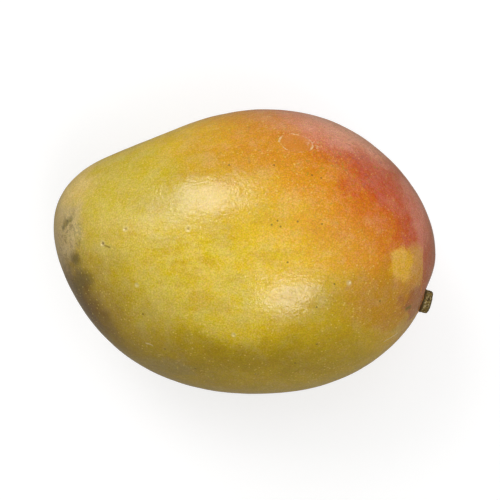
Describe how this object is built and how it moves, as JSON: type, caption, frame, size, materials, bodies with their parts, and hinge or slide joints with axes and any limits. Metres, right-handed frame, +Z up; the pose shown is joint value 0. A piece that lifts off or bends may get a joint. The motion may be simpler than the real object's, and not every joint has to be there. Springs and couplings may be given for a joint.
{
  "type": "mango",
  "caption": "Whole ripe mango lying on one cheek, egg-shaped with a blunt beak at one end and a short woody stem stub at the other",
  "frame": {"origin": "middle of the flat spot on the lower cheek that the fruit rests on", "axes": "+X towards the stem end along the length, +Y across the width towards the beak side, +Z up through the thickness from the lower cheek to the upper one"},
  "size_m": [0.1254, 0.0934, 0.0815],
  "materials": {
    "skin": "smooth waxy fruit skin, satin, green-yellow to red",
    "bark": "dry rough bark, matte, dark olive-brown"
  },
  "bodies": {
    "root": {"fruit": "skin", "stem_stub": "bark"}
  },
  "joints": []
}
